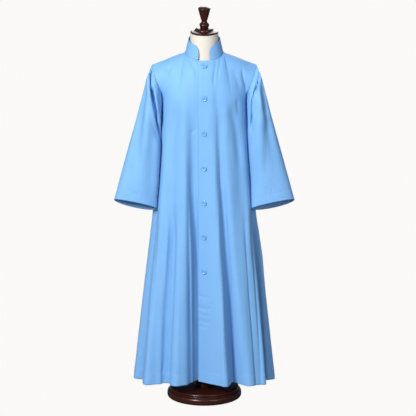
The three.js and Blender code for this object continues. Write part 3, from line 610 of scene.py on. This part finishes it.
RIGHT_FRONT_CREASES = LAP_CREASES + [
    # Pulls from the collar and the shoulder.
    on_front([(-62, 1494), (-46, 1470), (-34, 1445), (-30, 1405)], soft=8, depth=2.6, grow=0.05),
    on_front([(-172, 1448), (-165, 1436), (-160, 1412)], soft=5, depth=3),
    on_front([(-136, 1460), (-148, 1438), (-160, 1398)], soft=6, depth=3.2),
    on_front([(-92, 1478), (-98, 1440), (-112, 1390)], soft=11, depth=1.4),
    # The chest's shallow folds.
    on_front([(-103, 1330), (-117, 1265), (-131, 1190), (-139, 1110), (-152, 960)], soft=17, depth=5.5),
    on_front([(-82, 1330), (-86, 1230), (-88, 1090)], soft=14, depth=-2.2),
    on_front([(-42, 1300), (-44, 1200), (-44, 1050), (-44, 880)], soft=13, depth=3),
    # The deep trough beside the lap, and the two swells that make its bank.
    on_front([(-42, 1160), (-39, 840), (-30, 600), (-25, 330), (-25, 60)],
             soft=8, other=1.6, depth=17, grow=0.5, fade=0.01),
    on_front([(-74, 1330), (-78, 1160), (-80, 700), (-80, 400), (-78, 60)],
             soft=15, depth=-10, grow=0.4, fade=0.01),
    on_front([(-66, 1000), (-64, 704), (-62, 572), (-60, 309), (-59, 60)],
             soft=13, other=0.35, depth=-10, grow=0.4, fade=0.01),
    # The skirt's next trough and its bank.
    on_front([(-128, 900), (-134, 672), (-141, 500), (-149, 330), (-161, 60)], soft=11, depth=15, fade=0.01),
    on_front([(-150, 900), (-156, 704), (-166, 572), (-178, 440), (-184, 309), (-190, 60)],
             soft=14, depth=-9, grow=0.3, fade=0.01),
    # Smaller folds and pulls.
    on_front([(-60, 1182), (-44, 1196), (-30, 1206)], soft=7, depth=1.8),
    on_front([(-196, 880), (-204, 690), (-216, 480), (-232, 260)], soft=8, depth=3.5),
    on_front([(-166, 640), (-176, 470), (-188, 300)], soft=12, depth=2.2),
    on_front([(-168, 190), (-176, 150), (-179, 120)], soft=5, depth=1.8),
    on_front([(-158, 176), (-160, 148), (-163, 122)], soft=4, depth=1.5),
]
print("creases:", len(LEFT_FRONT_CREASES), "on the left front,", len(RIGHT_FRONT_CREASES), "on the right front")

# %% The fronts
BODY_CLOTH = 0.9 * MM
BODY_GRID = (3.2 * MM, 5.6 * MM, 3.1 * MM)  # across, down, and down near the hem
BODY_HOLD = 18  # mm from a seam, where the cloth starts to move freely
LAP_REACH = 25 * MM  # how far each front runs past the middle
NECK_FRONT = (-70 * MM, 1.48)


def make_body_piece(name, node, start, creases, seams, seed):
    """A front or the back: seams says which of its sides, first and last, are sewn to a neighbour."""
    points, across, up = fine_sheet(rows_of(node, start), *BODY_GRID)
    normals = outward(points, (0, 0))
    sewn = points
    points = crease(uneven(points, normals, amount=1.1), normals, creases)
    points = held_at(points, sewn, up[0] - up, BODY_HOLD)
    for seam in seams:
        distance = across if seam == "first" else across[:, -1:] - across
        points = held_at(points, sewn, distance, BODY_HOLD)
        points = dip(points, normals, distance, *SEAM_DIP)
    points = pucker(points, normals, across, up, HEM_STITCHES, seed)
    points = dip(points, normals, up[0] - up, *TOP_DIP)
    return build_sheet(name, node, *turn_in(points, normals, across, up, ["top", *seams]), BODY_CLOTH)


left_front = make_body_piece("left_front", "front_left", (-LAP_REACH, *NECK_FRONT), LEFT_FRONT_CREASES,
                             seams=["last"], seed=11)
right_front = make_body_piece("right_front", "front_right", (LAP_REACH, *NECK_FRONT), RIGHT_FRONT_CREASES,
                              seams=["last"], seed=23)

# %% [markdown]
# ## The back
# The back is one panel. It hangs from the shoulders in long folds, with a soft pull out of each shoulder seam.

# %% Back creases and the back
SHOULDER_TIP = (217 * MM, 0, 1.45)

BACK_CREASES = [
    # Pulls from the shoulders.
    on_back([(150, 1452), (158, 1410), (170, 1350)], soft=8, depth=3),
    on_back([(-146, 1455), (-160, 1405), (-168, 1345)], soft=8, depth=3.4),
    on_back([(70, 1490), (66, 1440), (60, 1370)], soft=10, depth=1.8),
    on_back([(-66, 1490), (-58, 1430), (-56, 1360)], soft=9, depth=2),
    # The long folds and the swells between them.
    on_back([(112, 1400), (122, 1290), (128, 1150), (134, 980)], soft=15, depth=5),
    on_back([(-108, 1390), (-120, 1270), (-124, 1130), (-136, 940)], soft=16, depth=4.6),
    on_back([(52, 1380), (62, 1250), (64, 1090), (70, 900)], soft=14, depth=4.2),
    on_back([(-44, 1360), (-52, 1240), (-54, 1060), (-60, 860)], soft=14, depth=4.4),
    on_back([(6, 1420), (8, 1280), (4, 1080)], soft=18, depth=-2.4),
    on_back([(90, 1300), (96, 1180), (100, 1020)], soft=12, depth=-2.2),
    on_back([(-84, 1300), (-92, 1160), (-96, 1000)], soft=12, depth=-2),
    # The skirt's sides and its hem.
    on_back([(176, 900), (190, 700), (206, 480), (222, 260)], soft=9, depth=3.4),
    on_back([(-178, 940), (-188, 740), (-202, 500), (-220, 240)], soft=9, depth=3.8),
    on_back([(20, 640), (26, 430), (30, 230)], soft=14, depth=2.4),
    on_back([(-120, 330), (-126, 240), (-134, 140)], soft=9, depth=2.4),
    on_back([(140, 360), (150, 250), (152, 130)], soft=10, depth=2.2),
]
print("creases:", len(BACK_CREASES), "on the back")
back_panel = make_body_piece("back_panel", "back", SHOULDER_TIP, BACK_CREASES, seams=["first", "last"], seed=37)

# %% [markdown]
# ## The sleeves
# A choir sleeve is wide and straight, and hangs open at the wrist. From the shoulder a deep crease sweeps down the
# front to the underarm, where the spare cloth of a wide armhole folds away. Below it the sleeve hangs nearly flat.

# %% Sleeve creases and the sleeves
LEFT_SLEEVE_CREASES = [
    # The sweep down to the underarm, and its neighbours.
    on_front([(234, 1446), (228, 1414), (219, 1384), (209, 1354), (200, 1326), (195, 1285), (193, 1235),
              (192, 1165)], soft=7, other=0.7, depth=18, fade=0.3),
    on_front([(241, 1410), (248, 1350), (255, 1300), (259, 1225)], soft=8, depth=5),
    on_front([(206, 1400), (200, 1350), (194, 1290)], soft=6, depth=3.5),
    # The sleeve's broad folds.
    on_front([(256, 1250), (260, 1150), (258, 1060), (262, 960)], soft=18, depth=5),
    on_front([(222, 1290), (226, 1180), (230, 1060), (240, 930)], soft=16, depth=-3),
    # Small pulls at the cuff.
    on_front([(256, 950), (262, 925), (266, 908)], soft=5, depth=1.4),
    on_front([(284, 946), (282, 926), (286, 905)], soft=4, depth=1.2),
    # The back of the sleeve.
    on_back([(214, 1420), (224, 1350), (206, 1270), (198, 1190)], soft=9, depth=6),
    on_back([(240, 1380), (256, 1290), (262, 1180)], soft=12, depth=3.5),
    on_back([(262, 1160), (282, 1060), (290, 940)], soft=16, depth=3.5),
]
RIGHT_SLEEVE_CREASES = [
    # The sweep down to the underarm, and its banks.
    on_front([(-225, 1450), (-223, 1412), (-219, 1361), (-212, 1314), (-202, 1262), (-193, 1215), (-182, 1160),
              (-174, 1100)], soft=5.5, other=0.75, depth=27, grow=0.15, fade=0.05),
    on_front([(-238, 1450), (-236, 1412), (-232, 1361), (-225, 1314), (-215, 1262), (-206, 1215),
              (-196, 1160)], soft=9, depth=-7, grow=0.3, fade=0.3),
    on_front([(-196, 1190), (-198, 1100), (-202, 980), (-206, 860)], soft=15, depth=-8),
    on_front([(-216, 1400), (-208, 1350), (-198, 1300), (-190, 1240)], soft=7, depth=-3),
    # The fold at the armhole, and the sleeve's broad folds.
    on_front([(-193, 1345), (-186, 1310), (-180, 1262)], soft=5, depth=4),
    on_front([(-246, 1330), (-266, 1239), (-274, 1151), (-274, 1064), (-257, 976)], soft=18, depth=5.5),
    on_front([(-232, 1300), (-234, 1190), (-236, 1070)], soft=15, depth=-2.6),
    # Small pulls at the cuff.
    on_front([(-313, 940), (-307, 922), (-304, 902)], soft=4, depth=1.6),
    on_front([(-300, 936), (-297, 916), (-298, 900)], soft=4, depth=1.3),
    on_front([(-284, 930), (-279, 912), (-280, 898)], soft=4, depth=1.1),
    # The back of the sleeve.
    on_back([(-212, 1425), (-226, 1345), (-208, 1262), (-198, 1170)], soft=9, depth=6.5),
    on_back([(-244, 1370), (-258, 1280), (-266, 1160)], soft=12, depth=3),
    on_back([(-266, 1140), (-280, 1040), (-292, 930)], soft=16, depth=3.8),
]
SLEEVE_GRID = (2.6 * MM, 4.0 * MM, 2.9 * MM)  # round, down, and down near the cuff
SLEEVE_HOLD = 16  # mm
ONWARD = 2 * MM  # so that no light shows past the tip of the shoulder


def make_sleeve(name, node, side, creases, seed):
    """A sleeve. Its first row is smoothed between the points that it shares with the armhole's edge."""
    rows = rows_of(node, (side * SHOULDER_TIP[0], *SHOULDER_TIP[1:]), closed=True)
    shared = rows[0, ::2]
    rows[0, 1::2] = (9 * (shared + np.roll(shared, -1, 0)) - np.roll(shared, 1, 0) - np.roll(shared, -2, 0)) / 16
    points, across, up = fine_sheet(rows, *SLEEVE_GRID, closed=True)
    normals = outward(points)
    normals[:, -1] = normals[:, 0]
    sewn = points
    points = crease(uneven(points, normals, amount=1.0), normals, creases)
    points = held_at(points, sewn, up[0] - up, SLEEVE_HOLD)
    points = pucker(points, normals, across, up, CUFF_STITCHES, seed)
    points = dip(points, normals, up[0] - up, *SEAM_DIP)
    points[:, -1] = points[:, 0]
    sheet = turn_in(points, normals, across, up, ["top"], onward=ONWARD)
    return build_sheet(name, node, *sheet, BODY_CLOTH, closed=True)


print("creases:", len(LEFT_SLEEVE_CREASES), "on the left sleeve,", len(RIGHT_SLEEVE_CREASES), "on the right sleeve")
left_sleeve = make_sleeve("left_sleeve", "sleeve_left", 1, LEFT_SLEEVE_CREASES, seed=51)
right_sleeve = make_sleeve("right_sleeve", "sleeve_right", -1, RIGHT_SLEEVE_CREASES, seed=67)

# %% [markdown]
# ## The collar
# The band collar is two layers of cloth with a stiffener between them, so it stands by itself and keeps an even
# curve.

# %% The collar
COLLAR_CLOTH = 2.4 * MM
COLLAR_GRID = (3 * MM, 2.6 * MM)
COLLAR_START = (-LAP_REACH, -66 * MM, 1.487)

collar_rows = rows_of("collar", COLLAR_START, highest_first=False)
collar_points, collar_across, collar_up = fine_sheet(collar_rows, *COLLAR_GRID)
collar_normals = outward(collar_points, (0, 0))
collar_points = uneven(collar_points, collar_normals, amount=0.5)
collar_band = build_sheet("collar_band", "collar", collar_points, collar_normals, collar_across, collar_up,
                          COLLAR_CLOTH)
round_edges = collar_band.modifiers.new("rounded_edges", "BEVEL")
round_edges.width = 0.7 * MM
round_edges.segments = 2
round_edges.angle_limit = math.radians(50)

# %% [markdown]
# ## The dress form
# The form is covered with cream cotton jersey, drawn tight. A shallow seam runs round the neck just under the cap.

# %% Jersey and the form
STITCH = 1.1 * MM
FORM_GRID = (6 * MM, 2.4 * MM)
NECK_SIDE = (50 * MM, 0, 1.58)
NECK_SEAM = 9 * MM  # under the cap
NECK_SEAM_DIP = (0.7, 2.4)  # mm deep, and mm soft

jersey, jersey_tree, jersey_shader = new_material(
    "cream_cotton_jersey", Base_Color=from_hex("#cbc4bb"), Roughness=0.88, Specular_IOR_Level=0.2,
    Sheen_Weight=0.15, Sheen_Roughness=0.5)
jersey_coords = add_node(jersey_tree, "ShaderNodeTexCoord")
# Knitted columns 1.1 mm apart, along the form's height.
jersey_knit = add_node(jersey_tree, "ShaderNodeTexWave", [("Vector", jersey_coords, "UV")], wave_type="BANDS",
                       bands_direction="X", Scale=math.pi / (10 * STITCH), Distortion=0.6)
jersey_bump = add_node(jersey_tree, "ShaderNodeBump", [("Height", jersey_knit, "Fac")], Strength=0.3,
                       Distance=0.15 * MM)
jersey_tree.links.new(jersey_bump.outputs[0], jersey_shader.inputs["Normal"])

form_rows = rows_of("form_torso", NECK_SIDE, closed=True)
form_points, form_across, form_up = fine_sheet(form_rows, *FORM_GRID, closed=True)
form_normals = outward(form_points)
form_points = dip(form_points, form_normals, form_up[0] - form_up - NECK_SEAM, *NECK_SEAM_DIP)
form_points[:, -1] = form_points[:, 0]
form_cover = build_sheet("form_cover", "form_torso", form_points, form_normals, form_across, form_up, 0,
                         closed=True, slot="form_cover", material=jersey)

# %% [markdown]
# The cap, the finial, the pole and the foot are turned hardwood, stained to a dark red-brown and lacquered. The
# grain runs along the turning axis, and shows as faint darker streaks.

# %% Lacquered wood
mahogany, wood_tree, wood_shader = new_material(
    "lacquered_mahogany", Roughness=0.3, Specular_IOR_Level=0.25, Coat_Weight=0.14, Coat_Roughness=0.08)
wood_coords = add_node(wood_tree, "ShaderNodeTexCoord")
# Streaks about 4 mm wide and ten times as long.
wood_stretch = add_node(wood_tree, "ShaderNodeMapping", [("Vector", wood_coords, "Object")])
wood_stretch.inputs["Scale"].default_value = (240, 240, 22)
wood_grain = add_node(wood_tree, "ShaderNodeTexNoise", [("Vector", wood_stretch, 0)], Scale=1.0, Detail=5.0,
                      Roughness=0.6)
wood_range = add_node(wood_tree, "ShaderNodeMapRange", [("Value", wood_grain, "Fac")])
wood_range.inputs["From Min"].default_value = 0.35
wood_range.inputs["From Max"].default_value = 0.68
wood_tint = add_node(wood_tree, "ShaderNodeMix", [(0, wood_range, 0)], data_type="RGBA")
wood_tint.inputs[6].default_value = from_hex("#1d0804")
wood_tint.inputs[7].default_value = from_hex("#3c150c")
wood_tree.links.new(wood_tint.outputs[2], wood_shader.inputs["Base Color"])


def rounded(profile, times=2):
    """Cut a profile's corners in turn, so that a turned piece has no hard edge."""
    profile = np.array(profile, float)
    for _ in range(times):
        near, far = profile[:-1] * 0.75 + profile[1:] * 0.25, profile[:-1] * 0.25 + profile[1:] * 0.75
        middle = np.stack([near, far], axis=1).reshape(-1, 2)
        profile = np.concatenate([profile[:1], middle[1:-1], profile[-1:]])
    return profile


def turned_mesh(name, profile, steps):
    """Turn a profile of (radius, height) in mm about the Z axis."""
    bm = bmesh.new()
    corners = [bm.verts.new((radius * MM, 0, height * MM)) for radius, height in profile]
    edges = [bm.edges.new(pair) for pair in zip(corners, corners[1:])]
    bmesh.ops.spin(bm, geom=corners + edges, axis=(0, 0, 1), cent=(0, 0, 0), angle=2 * math.pi, steps=steps,
                   use_merge=True)
    bmesh.ops.remove_doubles(bm, verts=bm.verts, dist=0.01 * MM)
    bmesh.ops.recalc_face_normals(bm, faces=bm.faces)
    mesh = bpy.data.meshes.new(name)
    bm.to_mesh(mesh)
    bm.free()
    return mesh


def node_points(node):
    """The corners of a CAD node, in world space."""
    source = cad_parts[node]
    return np.array([(source.matrix_world @ v.co)[:] for v in source.data.vertices])


FOOT = [
    (0, 0), (150, 0), (154, 1.5), (156.5, 6), (156.5, 16), (155.5, 23), (152, 28), (147, 30), (143.5, 31.5),
    (143, 34), (145, 37.5), (145.5, 41), (143, 44.5), (137, 46.4), (118, 47.4), (80, 48.2), (44, 48.8), (39, 49.2),
    (37.8, 51), (38.6, 54), (38, 57.5), (34, 60.5), (30, 61.8), (27.5, 63.5), (26, 67), (25.2, 71.5), (27.8, 75),
    (28.4, 78), (27, 81), (24.5, 83.5), (21, 86.2), (15.2, 87), (0, 87),
]
CAP = [
    (0, 0), (54, 0), (57, 0.8), (58, 3), (57.6, 5.4), (55, 7.2), (50, 8.2), (43, 9.6), (39, 11.2), (37.6, 13),
    (37.2, 15.2), (35.5, 17.6), (32, 19.6), (26, 21), (18.5, 21.5), (0, 21.5),
]
FINIAL = [
    (0, 0), (17.4, 0), (18.4, 2.5), (18, 4.6), (19.4, 6.4), (20.6, 10.5), (20, 14.8), (17.8, 18.6), (14.4, 21.8),
    (12.2, 24.4), (11.6, 27), (12.2, 30), (14, 36), (17, 46.5), (20.2, 58), (23.4, 71), (25.6, 80), (26, 82.4),
    (25.2, 84.6), (22.5, 86.2), (17, 88.4), (10, 90.8), (0, 92),
]
POLE_RADIUS = 15
pole_length = np.ptp(node_points("form_pole")[:, 2]) / MM
POLE = [(0, 0), (POLE_RADIUS, 0), (POLE_RADIUS, pole_length), (0, pole_length)]

for name, node, profile, times in (("foot", "form_foot", FOOT, 2), ("cap", "form_cap", CAP, 2),
                                   ("finial", "form_finial", FINIAL, 2), ("pole", "form_pole", POLE, 0)):
    wood_mesh = turned_mesh(name, rounded(profile, times), 96)
    wood_mesh.transform(Matrix.Translation((0, 0, node_points(node)[:, 2].min())))
    finish_piece(wood_mesh, name, node, mahogany)
    print(name, len(wood_mesh.polygons), "faces")

# %% [markdown]
# ## Buttons
# Seven flat buttons of dyed resin, each with a raised rim round a dished face and four holes. The matching thread
# crosses the face in two bars and forms a short shank underneath.

# %% Buttons
resin, resin_tree, resin_shader = new_material(
    "dyed_button_resin", Base_Color=from_hex("#6699d0"), Roughness=0.25, Specular_IOR_Level=0.5, Coat_Weight=0.5,
    Coat_Roughness=0.12)
thread, thread_tree, thread_shader = new_material(
    "sky_blue_thread", Base_Color=from_hex("#6699cc"), Roughness=0.7, Sheen_Weight=0.2)

HOLE_PLACE = 1.6  # from the button's middle, both ways
HOLE_RADIUS = 0.95
HOLE_DEPTH = 1.3
HOLE_SOFT = 0.35  # how far its edge is rounded, and how far apart the rings round it are
FACE = 2.9
STRANDS = (-0.32, 0.32)  # two strands of thread lie side by side in each pair of holes
STRAND_SHAPE = Matrix.Diagonal((0.34, 2.0, 0.45, 1))  # half its width, length and height
BUTTON_TURNS = (12, -7, 20, 3, -14, 9, -3)  # how each button happens to have turned on its shank, in degrees
BUTTON = [(HOLE_SOFT * i, FACE) for i in range(17)] + [
    (6.2, 3.0), (6.7, 3.3), (7.2, 3.8), (7.8, 4.3), (8.6, 4.55), (9.5, 4.55), (10.3, 4.3), (11, 3.8), (11.4, 3.2),
    (11.5, 2.6), (11.3, 2.1), (10.7, 1.65), (9.6, 1.45), (0, 1.4),
]


def button_mesh(name):
    """A button in its own frame, with its back at the cloth and its face along Z."""
    mesh = turned_mesh(name, BUTTON, 60)
    for corner in mesh.vertices:
        x, y, z = corner.co / MM
        if z > FACE - 0.05 and math.hypot(x, y) < 5:
            away = math.hypot(abs(x) - HOLE_PLACE, abs(y) - HOLE_PLACE)
            corner.co.z -= HOLE_DEPTH * MM * float(soft_step((HOLE_RADIUS - away) / HOLE_SOFT + 0.5))
    return mesh


thread_bm = bmesh.new()
for i, button_turn in enumerate(BUTTON_TURNS):
    corners = node_points("button_%d" % (i + 1))
    middle = corners.mean(axis=0)
    axis = np.linalg.svd(corners - middle)[2][2]
    axis *= -np.sign(axis[1])
    foot_place = middle + axis * ((corners - middle) @ axis).min()
    turn = Vector(axis).to_track_quat("Z", "Y") @ Quaternion((0, 0, 1), math.radians(button_turn))
    place = Matrix.Translation(foot_place) @ turn.to_matrix().to_4x4()
    button = button_mesh("button_%d" % (i + 1))
    button.transform(place)
    finish_piece(button, button.name, "button_%d" % (i + 1), resin)
    for x in (-HOLE_PLACE, HOLE_PLACE):
        for beside in STRANDS:
            strand = Matrix.Translation(((x + beside) * MM, 0, (FACE + 0.1) * MM)) @ STRAND_SHAPE
            bmesh.ops.create_uvsphere(thread_bm, u_segments=10, v_segments=8, radius=MM, matrix=place @ strand)
    shank = Matrix.Translation((0, 0, 0.2 * MM))
    bmesh.ops.create_cone(thread_bm, cap_ends=True, segments=16, radius1=2.2 * MM, radius2=1.8 * MM, depth=2.6 * MM,
                          matrix=place @ shank)
thread_mesh = bpy.data.meshes.new("button_threads")
thread_bm.to_mesh(thread_mesh)
thread_bm.free()
finish_piece(thread_mesh, "button_threads", None, thread)
print("buttons at heights", [round(float(node_points("button_%d" % (i + 1))[:, 2].mean()) / MM) for i in range(7)])
